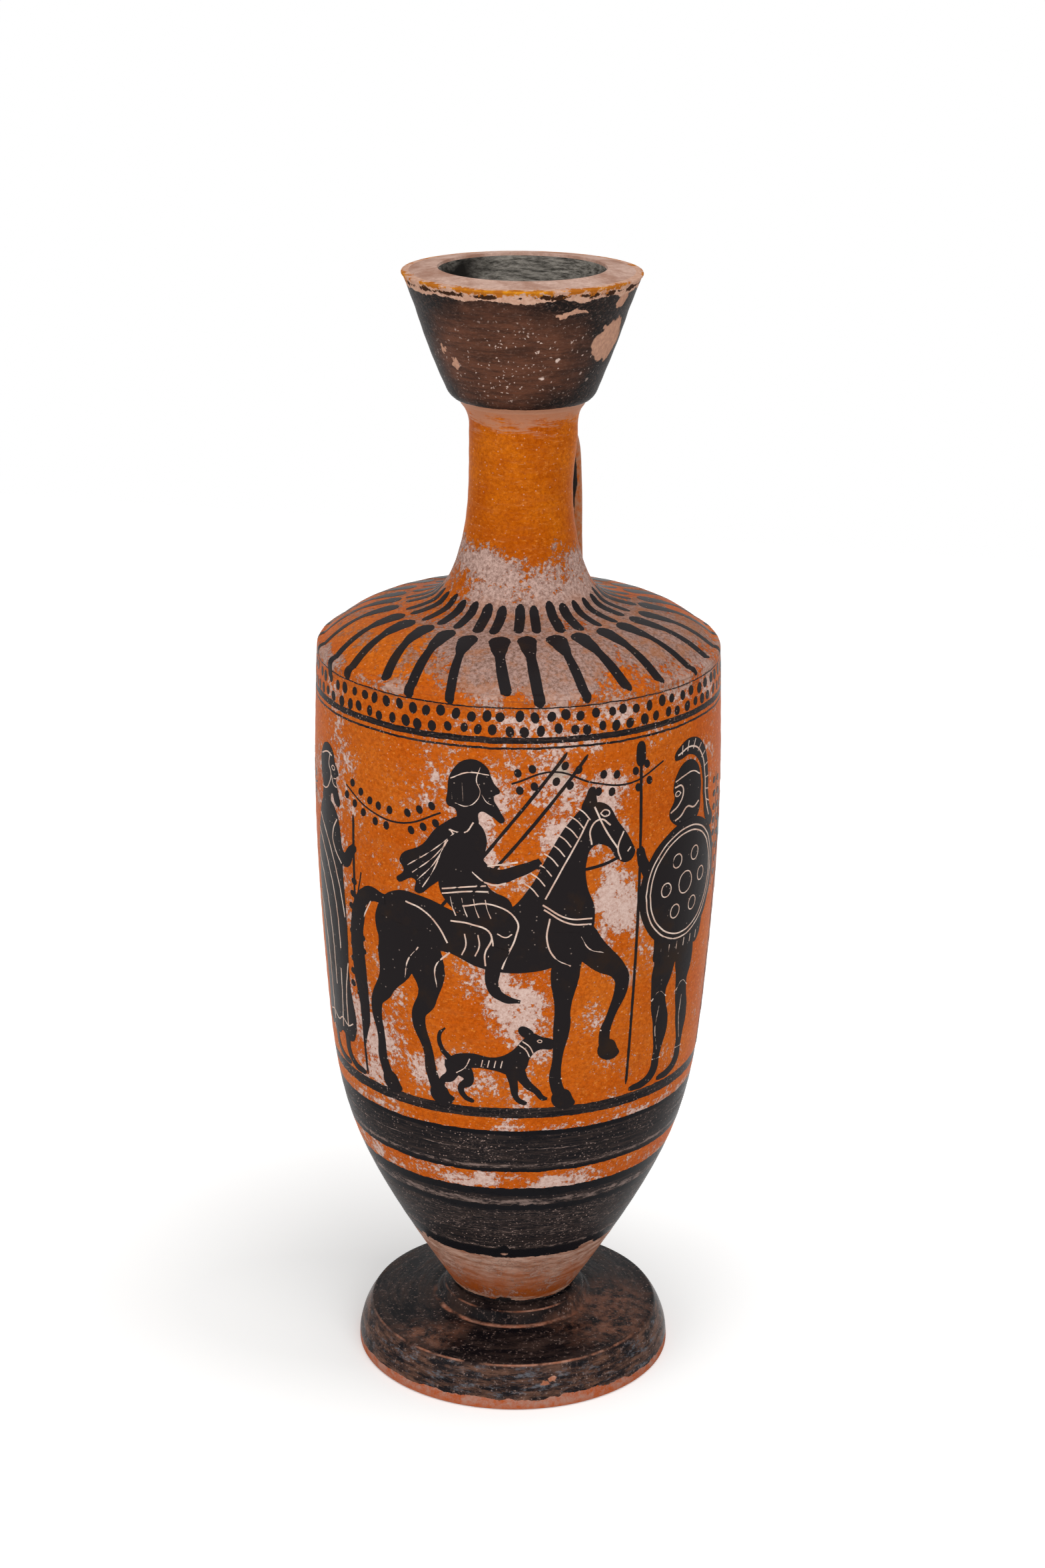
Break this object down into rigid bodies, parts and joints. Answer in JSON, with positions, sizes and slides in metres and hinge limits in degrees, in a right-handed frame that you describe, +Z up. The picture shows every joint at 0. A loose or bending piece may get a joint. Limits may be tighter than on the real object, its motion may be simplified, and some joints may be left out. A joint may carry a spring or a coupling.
{
  "type": "lekythos",
  "caption": "Tall black-figure oil flask with a disc foot, tapering body, sloping shoulder, slim neck, deep flaring mouth and a strap handle at the back.",
  "frame": {"origin": "on the floor, under the middle of the foot", "axes": "+Z up along the axis of the pot, +Y towards the handle at the back"},
  "size_m": [0.0724, 0.0724, 0.2029],
  "materials": {
    "black_gloss": "worn black-brown slip gloss over orange clay",
    "painted_clay": "burnished orange clay painted with black slip",
    "reserved_clay": "burnished orange clay, left unpainted",
    "clay_slip": "matt fired clay slip"
  },
  "bodies": {
    "root": {"foot": "black_gloss", "foot_slip_bed": "clay_slip", "body": "painted_clay", "neck_slip_bed": "clay_slip", "neck": "reserved_clay", "mouth_slip_bed": "clay_slip", "mouth": "black_gloss", "handle": "black_gloss", "handle_upper_slip_pad": "clay_slip", "handle_lower_slip_pad": "clay_slip"}
  },
  "joints": []
}
